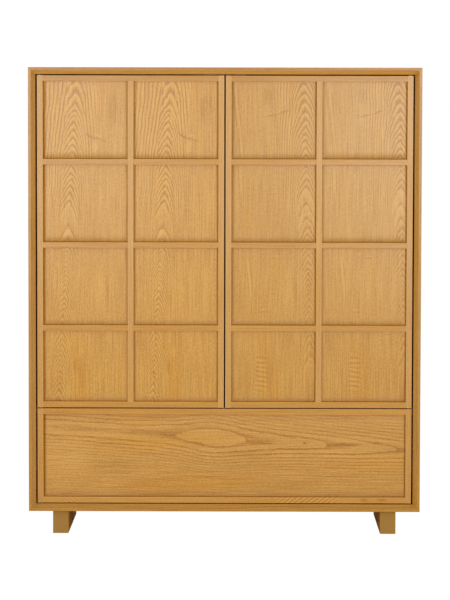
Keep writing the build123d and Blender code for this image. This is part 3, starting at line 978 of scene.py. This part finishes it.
@dataclass
class Interior:
    """Everything behind the doors that doesn't move: back, divider, partition, shelves and their pins."""

    pale: Colour = (216, 168, 104)
    deep: Colour = (178, 122, 48)

    def dress(self) -> None:
        """Seal the inner panels clear."""
        panel = Wood(Fibre.ACROSS, pale=self.pale, deep=self.deep, contrast=0.3, roughness=0.4)
        shelves = [f"shelf_{side}_{tier}" for side in SIDES for tier in ("lower", "upper")]
        dress_wood(["drawer_divider", *shelves], panel, 11.0)
        upright = replace(panel, fibre=Fibre.UP)
        dress_wood(["back_panel"], upright, 19.0)
        # Painted shade: the partition's front edge is darkened to stand for the shade in the gap between
        # the doors.
        dress_wood(["centre_partition"], replace(upright, front=(0.12, 0.09, 0.06)), 20.4)
        dress("shelf_pins", Metal((214, 176, 108), 0.28).make("shelf_pin_brass"))


@dataclass
class Door:
    """One framed door with its lattice and leaves of figured veneer."""

    side: str
    figure: LeafFigure
    left_shades: Shades
    right_shades: Shades
    blemishes: tuple[Blemish, ...]
    pale: Colour = (213, 161, 70)
    contrast: float = 1.05

    def box(self, name: str) -> tuple[Vector, Vector]:
        """Lowest and highest corner of one of this door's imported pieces."""
        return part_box(f"{self.side}_door_{name}")

    def corner(self) -> Corner:
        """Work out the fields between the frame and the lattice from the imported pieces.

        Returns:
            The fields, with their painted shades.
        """
        left = min(self.box(f"{name}_stile")[1].x for name in ("hinge", "meeting"))
        upright_low, upright_high = self.box("lattice_upright")
        bars_low, bars_high = self.box("lattice_crossbars")
        bar = upright_high.x - upright_low.x
        pitch = (bars_high.z - bars_low.z - bar) / 2
        column = upright_low.x - left
        return Corner(
            left=left,
            top=self.box("top_rail")[0].z,
            foot=self.box("bottom_rail")[1].z,
            column=column,
            column_pitch=column + bar,
            row=pitch - bar,
            row_pitch=pitch,
            left_shades=self.left_shades,
            right_shades=self.right_shades,
        )

    def leaves(self) -> Wood:
        """Lay two slip-matched leaves that meet behind the lattice upright.

        Returns:
            Their finish.
        """
        stiles = [self.box(f"{name}_stile") for name in ("hinge", "meeting")]
        start = min(low.x for low, _ in stiles)
        figure = replace(
            self.figure,
            start=start,
            leaf=(max(high.x for _, high in stiles) - start) / 2,
            foot=stiles[0][0].z,
            crown=stiles[0][1].z,
        )
        return Wood(
            Fibre.UP,
            pale=self.pale,
            deep=(177, 117, 8),
            figure=figure,
            contrast=self.contrast,
            blemishes=self.blemishes,
            corner=self.corner(),
        )

    def dress(self, shift: float) -> None:
        """Dress the frame, the lattice and the leaves.

        Args:
            shift: Where this door's straight grain starts.
        """
        side = self.side
        dress(f"{side}_door_core", self.leaves().make(f"{side}_door_veneer", shift))
        uprights = ("hinge_stile", "meeting_stile", "lattice_upright")
        dress_wood((f"{side}_door_{name}" for name in uprights), UPRIGHT, shift)
        # Painted shade: the door's top rail is darker than the other rails, for the shade under the case's
        # top.
        top_rail = replace(LYING, pale=(203, 148, 48), deep=(168, 108, 6))
        dress_wood([f"{side}_door_top_rail"], top_rail, shift + 5.0)
        dress_wood([f"{side}_door_bottom_rail", f"{side}_door_lattice_crossbars"], LYING, shift + 6.37)
        dress(f"{side}_door_bushes", Plastic((226, 222, 210)).make(f"{side}_bush_nylon"))
        dress(f"{side}_door_strike", STRIKE.make(f"{side}_strike_steel"))


def left_door() -> Door:
    """The left door: arches left of the middle of each leaf, strong lines beside them at the top."""
    return Door(
        "left",
        LeafFigure(
            axis_foot=0.0622,
            axis_lean=0.0575,
            climb=(
                (0.0, -3.0), (0.071, 0.0), (0.175, 6.0), (0.2252, 9.0), (0.2775, 11.0),
                (0.336, 14.0), (0.3882, 17.0), (0.4465, 21.0), (0.4896, 25.0), (0.5539, 27.0),
                (0.5640, 27.35), (0.6213, 27.65), (0.6348, 28.2), (0.6957, 31.0), (0.7791, 35.0),
                (0.87, 39.0), (0.9328, 42.0), (0.9645, 43.0), (1.20, 48.0),
            ),
            left=Flank(width=0.028, spacing=0.0130, lean=0.115, fan=1.5, reach=0.14, faint=0.35),
            right=Flank(width=0.033, spacing=0.0115, lean=0.21, fan=1.5, reach=0.055, faint=0.1),
        ),
        left_shades=((0.0135, 0.85), (0.012, 0.62)),
        right_shades=((0.012, 0.32), (0.009, 0.65)),
        blemishes=(
            Mark(0.156, 0.8345, 0.015, 0.0042, 0.6, -38.0),
            Mark(0.177, 0.8255, 0.017, 0.0038, 0.5, -5.0),
            Mark(0.202, 0.818, 0.020, 0.0034, 0.35, -23.0),
            Mark(0.166, 0.830, 0.007, 0.007, 0.45),
            Mark(0.190, 0.8335, 0.016, 0.0040, -0.3, -12.0),
            Mark(0.177, 0.800, 0.014, 0.022, -0.25),
            Mark(0.232, 0.915, 0.024, 0.060, 0.22),
            Mark(0.098, 0.990, 0.010, 0.022, -0.45),
            Mark(0.091, 0.534, 0.0085, 0.013, -0.5),
            Mark(0.091, 0.5495, 0.009, 0.0030, 0.45),
            Mark(0.115, 0.125, 0.009, 0.032, 0.25),
            Mark(0.131, 0.170, 0.010, 0.020, -0.2),
            Mark(0.160, 0.395, 0.004, 0.006, 0.3),
        ),
        pale=(219, 165, 71),
    )


def right_door() -> Door:
    """The right door: arches at the right of each leaf, a knot at the top and ripples at the foot."""
    return Door(
        "right",
        LeafFigure(
            axis_foot=0.2645,
            axis_lean=-0.0255,
            climb=(
                (0.0, 0.0), (0.16, 1.0), (0.22, 3.0), (0.33, 8.0), (0.4329, 14.5),
                (0.4881, 17.0), (0.5320, 19.0), (0.5507, 20.0), (0.581, 21.0), (0.591, 21.55),
                (0.612, 21.65), (0.624, 22.0), (0.634, 22.5), (0.668, 22.65), (0.679, 23.0),
                (0.6976, 24.0), (0.7206, 25.0), (0.739, 26.0), (0.8145, 30.0), (0.8812, 33.0),
                (0.9367, 35.0), (1.02, 38.0), (1.25, 46.0),
            ),
            left=Flank(width=0.040, spacing=0.0095, lean=0.12, fan=1.0, reach=0.09, faint=0.12),
            right=Flank(width=0.036, spacing=0.0095, lean=0.12, fan=1.0, reach=0.07, faint=0.1),
            narrowing=0.62,
            arch_foot=0.32,
            seed=4.0,
        ),
        left_shades=((0.016, 0.52), (0.015, 0.24)),
        right_shades=((0.0075, 0.8), (0.0075, 0.8)),
        blemishes=(
            Mark(0.1914, 0.9043, 0.0032, 0.0045, -0.9),
            Mark(0.187, 0.9095, 0.008, 0.0060, 0.55),
            Mark(0.174, 0.905, 0.016, 0.0042, 0.5, 21.0),
            Mark(0.140, 0.896, 0.028, 0.0042, 0.38, 11.5),
            Mark(0.1925, 0.850, 0.0026, 0.056, -0.8),
            Mark(0.130, 0.955, 0.022, 0.035, 0.2),
            Mark(0.038, 0.900, 0.0032, 0.25, -0.32, 5.5),
            Mark(0.0300, 0.900, 0.0018, 0.16, 0.4, 5.5),
            Mark(0.0455, 0.880, 0.0018, 0.14, 0.35, 5.5),
            Mark(0.0240, 0.930, 0.0016, 0.09, 0.35, 4.0),
            Mark(0.0460, 0.700, 0.0040, 0.07, -0.35, 2.0),
            Mark(0.0396, 0.700, 0.0016, 0.07, 0.35, 2.0),
            Mark(0.0528, 0.690, 0.0018, 0.07, 0.40, 2.0),
            Mark(0.0730, 0.405, 0.0035, 0.10, -0.45, 5.5),
            Mark(0.0675, 0.400, 0.0018, 0.08, 0.35, 5.5),
            Mark(0.0790, 0.410, 0.0018, 0.07, 0.35, 5.5),
            Mark(0.1580, 0.425, 0.0018, 0.045, -0.35),
            Mark(0.157, 0.6520, 0.012, 0.0022, -0.35, -14.0),
            Mark(0.150, 0.6580, 0.011, 0.0034, 0.25),
            Mark(0.155, 0.4655, 0.011, 0.0026, -0.35),
            Mark(0.150, 0.4600, 0.014, 0.0022, 0.35),
            Ripple(0.117, 0.302, 0.014, 0.024, 0.0145, 0.16),
            Ripple(0.114, 0.108, 0.019, 0.070, 0.0147, 0.32, 0.1),
        ),
        contrast=1.2,
    )


@dataclass
class Drawer:
    """The wide drawer: its framed front and the box behind it."""

    eye: tuple[float, float, float, float] = (-0.034, 0.154, 0.45, -0.75)
    tongues: tuple[Pair, ...] = (
        (-0.60, 0.25), (-0.20, 0.28), (0.10, 0.30), (0.18, 0.50),
        (0.335, 1.0), (0.525, 2.0), (0.60, 2.4),
    )
    axis_over_foot: float = 0.182
    axis_lean: float = -0.062
    blemishes: tuple[Blemish, ...] = (
        Mark(0.2772, 0.116, 0.0045, 0.040, 0.5),
        Mark(0.2783, 0.2468, 0.0045, 0.010, 0.6),
        Mark(0.2735, 0.3182, 0.0035, 0.008, 0.6),
        Mark(0.2755, 0.383, 0.0075, 0.055, 0.4),
        Mark(0.2300, -0.500, 0.1100, 0.120, -0.2),
    )
    rail_blemishes: tuple[Blemish, ...] = (
        Ripple(0.1036, 0.256, 0.014, 0.12, 0.0174, 0.5, -1.5),
        Ripple(0.1030, -0.472, 0.014, 0.03, 0.0160, 0.35, 1.5),
        Mark(0.104, 0.43, 0.008, 0.016, 0.4),
        Mark(0.104, 0.485, 0.006, 0.02, 0.45),
    )

    def dress(self) -> None:
        """Lay one leaf across the front, and seal the box in a paler wood."""
        left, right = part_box("drawer_left_stile")[1].x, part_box("drawer_right_stile")[0].x
        foot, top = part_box("drawer_bottom_rail")[1].z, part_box("drawer_top_rail")[0].z
        # Painted shade along the inner edges of the drawer front's field.
        corner = Corner(
            left=left,
            top=top,
            foot=foot,
            column=right - left,
            column_pitch=2 * (right - left),
            row=top - foot,
            row_pitch=2 * (top - foot),
            left_shades=((0.0135, 1.0), (0.0135, 1.0)),
            right_shades=((0.007, 0.85), (0.007, 0.85)),
        )
        figure = EyeFigure(foot + self.axis_over_foot, self.axis_lean, self.eye, self.tongues)
        front = Wood(
            Fibre.ACROSS,
            pale=(216, 162, 76),
            deep=(168, 110, 14),
            figure=figure,
            contrast=0.58,
            fibres=0.55,
            blemishes=self.blemishes,
            corner=corner,
        )
        dress("drawer_front_core", front.make("drawer_veneer", 0.0))
        dress_wood(["drawer_top_rail"], replace(LYING, pale=(213, 155, 61)), 2.6)
        rail = replace(LYING, pale=(217, 162, 76), deep=(182, 119, 19), blemishes=self.rail_blemishes)
        dress_wood(["drawer_bottom_rail"], rail, 0.0)
        dress_wood(["drawer_left_stile", "drawer_right_stile"], UPRIGHT, 4.4)
        box = Wood(
            Fibre.ACROSS,
            pale=(226, 196, 142),
            deep=(196, 156, 96),
            end=(190, 150, 96),
            roughness=0.5,
        )
        dress_wood(["drawer_box_front", "drawer_box_back", "drawer_box_bottom"], box, 23.0)
        dress_wood((f"drawer_box_{side}_side" for side in SIDES), replace(box, fibre=Fibre.DEEP), 29.0)
        dress("drawer_strike", STRIKE.make("drawer_strike_steel"))


@dataclass
class Hardware:
    """Pivot hinges, push latches and ball runners."""

    black_zinc: Colour = (72, 64, 56)
    runner_zinc: Colour = (84, 84, 86)

    def dress(self) -> None:
        """Plate the steel and mould the plastic."""
        steel = Metal(self.black_zinc, 0.42).make("hinge_steel")
        for node in ("pivot_plates", "pivot_pins"):
            dress(node, steel)
        runner = Metal(self.runner_zinc).make("runner_steel")
        for node in ("case_members", "middle_members", "drawer_members", "outer_cages", "inner_cages"):
            dress(f"runner_{node}", runner)
        dress("latch_housings", Plastic((150, 152, 154)).make("latch_plastic"))
        tip = Plastic((214, 214, 212), 0.4).make("plunger_plastic")
        for name in ("left_door", "right_door", "drawer"):
            dress(f"{name}_latch_plunger", tip)


# ---------------------------------------------------------------- screws
class ScrewTree:
    """Geometry Nodes that put one threaded, cross-slotted screw at every point of a cloud."""

    def __init__(self, name: str, finish: bpy.types.Material) -> None:
        """Build the tree.

        Args:
            name: The tree's name.
            finish: The screws' material.
        """
        self.group = bpy.data.node_groups.new(name, "GeometryNodeTree")
        shape = self.group.interface
        shape.new_socket("Geometry", in_out="INPUT", socket_type="NodeSocketGeometry")
        self.screw = shape.new_socket("Screw", in_out="INPUT", socket_type="NodeSocketObject")
        self.turn = shape.new_socket("Turn Seed", in_out="INPUT", socket_type="NodeSocketInt")
        shape.new_socket("Geometry", in_out="OUTPUT", socket_type="NodeSocketGeometry")
        add = Nodes(self.group).node
        entry = add("NodeGroupInput").outputs
        info = add("GeometryNodeObjectInfo", None, {"Object": entry["Screw"]})
        facing = add("GeometryNodeInputNamedAttribute", {"data_type": "FLOAT_VECTOR"}, {"Name": "facing"})
        towards = {"Vector": facing.outputs["Attribute"]}
        align = add("FunctionNodeAlignRotationToVector", {"axis": "Z"}, towards)
        drawn = {"Max": math.tau, "Seed": entry["Turn Seed"]}
        chance = add("FunctionNodeRandomValue", {"data_type": "FLOAT"}, drawn)
        spin = add("FunctionNodeAxisAngleToRotation", None, {"Angle": chance.outputs["Value"]})
        turns = {"Rotation": align.outputs["Rotation"], "Rotate By": spin.outputs["Rotation"]}
        turn = add("FunctionNodeRotateRotation", {"rotation_space": "LOCAL"}, turns)
        parts = {
            "Points": entry["Geometry"],
            "Instance": info.outputs["Geometry"],
            "Rotation": turn.outputs["Rotation"],
        }
        made = add("GeometryNodeInstanceOnPoints", None, parts).outputs["Instances"]
        made = add("GeometryNodeRealizeInstances", None, {"Geometry": made}).outputs["Geometry"]
        paint = add("GeometryNodeSetMaterial", None, {"Geometry": made, "Material": finish})
        add("NodeGroupOutput", None, {"Geometry": paint.outputs["Geometry"]})


@dataclass(frozen=True)
class Place:
    """Where one packed screw stands: the middle of its head's face, the way it faces, and its sizes."""

    head: Vector
    facing: Vector
    length: float
    radius: float


@dataclass
class Screws:
    """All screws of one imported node, remade with a domed head, a cross slot and a thread."""

    node: str
    body: str
    finish: bpy.types.Material
    seed: int
    segments: int = 20
    pitch: float = 0.0012

    def places(self) -> list[Place]:
        """Find each packed screw among the node's corners.

        Returns:
            Their places.
        """
        source = bmesh.new()
        source.from_mesh(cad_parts[self.node].data)
        bmesh.ops.remove_doubles(source, verts=source.verts, dist=1e-6)
        found, seen = [], set()
        for start in source.verts:
            if start in seen:
                continue
            island = [start]
            seen.add(start)
            for vert in island:
                fresh = {edge.other_vert(vert) for edge in vert.link_edges} - seen
                seen |= fresh
                island += fresh
            found.append(self.measure([vert.co.copy() for vert in island]))
        source.free()
        return found

    @staticmethod
    def measure(points: Sequence[Vector]) -> Place:
        """Measure one screw from its corners.

        Args:
            points: The corners.

        Returns:
            Its place.
        """
        low = Vector(min(p[axis] for p in points) for axis in range(3))
        high = Vector(max(p[axis] for p in points) for axis in range(3))
        size = high - low
        long_axis = max(range(3), key=lambda axis: size[axis])
        middle = (low + high) / 2
        radius = max(size[axis] for axis in range(3) if axis != long_axis) / 2
        wide = [p for p in points if (p - middle).cross(_unit(long_axis)).length > radius * 0.9]
        at_head = sum(p[long_axis] for p in wide) / len(wide)
        sign = 1.0 if at_head > middle[long_axis] else -1.0
        head = middle.copy()
        head[long_axis] = high[long_axis] if sign > 0 else low[long_axis]
        return Place(head, _unit(long_axis) * sign, size[long_axis], radius)

    def pattern(self, place: Place) -> bpy.types.Object:
        """Model one screw at the origin with its head's face at height 0.

        Args:
            place: A packed screw, for its sizes.

        Returns:
            The screw.
        """
        shank = place.radius * 0.5
        neck = place.radius * 0.54
        rings = [(0.0, -0.0003), (place.radius * 0.62, -0.00012), (place.radius * 0.97, -0.00035)]
        rings += [(place.radius * 0.97, -0.0006), (shank * 1.04, -neck - 0.0006), (shank, -neck - 0.0011)]
        depth = neck + 0.0016
        while depth < place.length - shank * 2.2:
            rings += [(shank * 0.74, -depth), (shank * 1.0, -depth - self.pitch * 0.5)]
            depth += self.pitch
        rings += [(shank * 0.7, -depth), (0.0, -place.length + 0.0002)]
        mesh = bmesh.new()
        turns = [math.tau * step / self.segments for step in range(self.segments)]
        loops = []
        for radius, level in rings:
            circle = [(radius * math.cos(turn), radius * math.sin(turn), level) for turn in turns]
            loops.append([mesh.verts.new(point) for point in (circle if radius else circle[:1])])
        for upper, lower in zip(loops, loops[1:]):
            for step in range(self.segments):
                following = (step + 1) % self.segments
                corners = [upper[step % len(upper)], upper[following % len(upper)]]
                corners += [lower[following % len(lower)], lower[step % len(lower)]]
                mesh.faces.new(dict.fromkeys(corners))
        self.cut_cross(mesh, place.radius)
        bmesh.ops.recalc_face_normals(mesh, faces=mesh.faces)
        data = bpy.data.meshes.new(f"{self.node}_pattern")
        mesh.to_mesh(data)
        mesh.free()
        return bpy.data.objects.new(f"{self.node}_pattern", data)

    @staticmethod
    def cut_cross(mesh: bmesh.types.BMesh, radius: float) -> None:
        """Press a cross into the head by sinking the corners of its four arms, deepest in the middle.

        Args:
            mesh: The screw.
            radius: Its head's radius.
        """
        skin, arm_half_turn, arm_depth, heart_depth = 0.0003, 0.32, 0.0007, 0.0011
        arm_reach, heart_reach = radius * 0.7, radius * 0.1
        for vert in mesh.verts:
            out = vert.co.xy.length
            in_heart = out < heart_reach
            in_arm = abs(math.sin(2 * math.atan2(vert.co.y, vert.co.x))) < arm_half_turn
            if vert.co.z > -skin and out < arm_reach and (in_arm or in_heart):
                vert.co.z -= heart_depth if in_heart else arm_depth

    def build(self) -> bpy.types.Object:
        """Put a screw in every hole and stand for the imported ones.

        Returns:
            One mesh with all screws of the node.
        """
        places = self.places()
        pattern = self.pattern(places[0])
        cloud = bpy.data.meshes.new(f"{self.node}_cloud")
        cloud.from_pydata([place.head for place in places], [], [])
        facing = cloud.attributes.new("facing", "FLOAT_VECTOR", "POINT")
        facing.data.foreach_set("vector", [part for place in places for part in place.facing])
        holder = stand(f"{self.node}_turned", cloud)
        tree = ScrewTree(f"{self.node}_tree", self.finish)
        modifier = holder.modifiers.new("screws", "NODES")
        modifier.node_group = tree.group
        modifier[tree.screw.identifier] = pattern
        modifier[tree.turn.identifier] = self.seed
        made = bpy.data.meshes.new_from_object(holder.evaluated_get(bpy.context.evaluated_depsgraph_get()))
        holder.modifiers.clear()
        holder.data = made
        made.shade_smooth()
        made.set_sharp_from_angle(angle=math.radians(35))
        bpy.data.objects.remove(pattern)
        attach(holder, self.body)
        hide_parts(self.node)
        log.info("made %d screws for %s", len(places), self.node)
        return holder


def _unit(axis: int) -> Vector:
    """Unit vector along an axis, by its number."""
    return Vector(1.0 if axis == number else 0.0 for number in range(3))


# ---------------------------------------------------------------- studio
@dataclass
class Studio:
    """A white floor under a white sky, two large soft boxes and a long lens."""

    camera_at: tuple[float, float, float] = (0.0471, -8.8897, 1.3019)
    turned_left: float = math.radians(0.304)
    tipped_down: float = math.radians(3.833)
    rolled: float = math.radians(0.118)
    lens: float = 170.5
    sky: float = 0.74
    floor_half: float = 60.0
    box_size: Pair = (1.883, 1.702)
    white: float = 1.02
    box_aside: float = 1.26
    box_at: Pair = (-5.59, 1.35)
    box_powers: Pair = (40.5, 47.5)

    def build(self) -> None:
        """Set up floor, sky, lights and camera."""
        self.floor()
        self.world()
        for side, way, power in zip(SIDES, (-1, 1), self.box_powers):
            self.soft_box(f"{side}_box", Vector((way * self.box_aside, *self.box_at)), power)
        self.camera()
        bpy.context.scene.view_settings.view_transform = "Standard"

    def floor(self) -> None:
        """Lay a matt floor that looks as white as the sky, and keeps light from below off the cabinet."""
        half = self.floor_half
        mesh = bpy.data.meshes.new("studio_floor")
        corners = [(-half, -half, 0.0), (half, -half, 0.0), (half, half, 0.0), (-half, half, 0.0)]
        mesh.from_pydata(corners, [], [(0, 1, 2, 3)])
        graph = Graph("studio_floor_paint")
        matt = {"Base Color": (0.86, 0.86, 0.86, 1.0), "Roughness": 0.9, "Specular IOR Level": 0.0}
        for socket, value in matt.items():
            graph.bsdf.inputs[socket].default_value = value
        white = graph.node("ShaderNodeEmission", None, {"Strength": self.white})
        seen = graph.node("ShaderNodeLightPath").outputs["Is Camera Ray"]
        both = {0: seen, 1: graph.bsdf.outputs["BSDF"], 2: white.outputs["Emission"]}
        mixed = graph.node("ShaderNodeMixShader", None, both)
        graph.feed(graph.leave.inputs["Surface"], mixed.outputs["Shader"])
        mesh.materials.append(graph.material)
        stand("studio_floor", mesh)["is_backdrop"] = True

    def world(self) -> None:
        """Make the sky white to the camera, and softer than that as a light."""
        world = bpy.data.worlds.new("studio_sky")
        bpy.context.scene.world = world
        world.use_nodes = True
        nodes = Nodes(world.node_tree)
        seen = nodes.node("ShaderNodeLightPath").outputs["Is Camera Ray"]
        levels = {"Value": seen, "To Min": self.sky, "To Max": self.white}
        inputs = nodes.tree.nodes["Background"].inputs
        inputs["Color"].default_value = (1.0, 1.0, 1.0, 1.0)
        nodes.feed(inputs["Strength"], nodes.node("ShaderNodeMapRange", None, levels).outputs["Result"])

    def soft_box(self, name: str, at: Vector, power: float) -> None:
        """Hang one large light that looks at the middle of the cabinet.

        Args:
            name: Its name.
            at: Its place.
            power: Its power in watts.
        """
        data = bpy.data.lights.new(name, "AREA")
        data.shape = "RECTANGLE"
        data.size, data.size_y = self.box_size
        data.energy = power
        low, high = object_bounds()
        lamp = stand(name, data)
        lamp.location = at
        lamp.rotation_euler = ((low + high) / 2 - at).to_track_quat("-Z", "Y").to_euler()

    def camera(self) -> None:
        """Set the long lens up in front, a little to the right and tipped down."""
        data = bpy.data.cameras.new("camera")
        data.lens = self.lens
        data.sensor_width = 36.0
        data.clip_end = 200.0
        camera = stand("camera", data)
        turn = Matrix.Rotation(self.turned_left, 4, "Z")
        tip = Matrix.Rotation(math.pi / 2 - self.tipped_down, 4, "X")
        roll = Matrix.Rotation(self.rolled, 4, "Z")
        camera.matrix_world = Matrix.Translation(self.camera_at) @ turn @ tip @ roll
        bpy.context.scene.camera = camera


def main() -> None:
    """Dress every sub-assembly, then set up the studio."""
    logging.basicConfig(level=logging.INFO)
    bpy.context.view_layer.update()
    Case().dress()
    Interior().dress()
    left_door().dress(13.0)
    right_door().dress(31.0)
    Drawer().dress()
    Hardware().dress()
    zinc = Metal((206, 196, 158), 0.3, Fibre.UP).make("screw_zinc")
    held = {"case": ("back_panel", "foot_rail", "hardware"), "drawer": ("drawer_front", "drawer_runner")}
    for seed, (name, body) in enumerate((name, body) for body, names in held.items() for name in names):
        Screws(f"{name}_screws", body, zinc, seed).build()
    Studio().build()


if __name__ == "__main__":
    main()
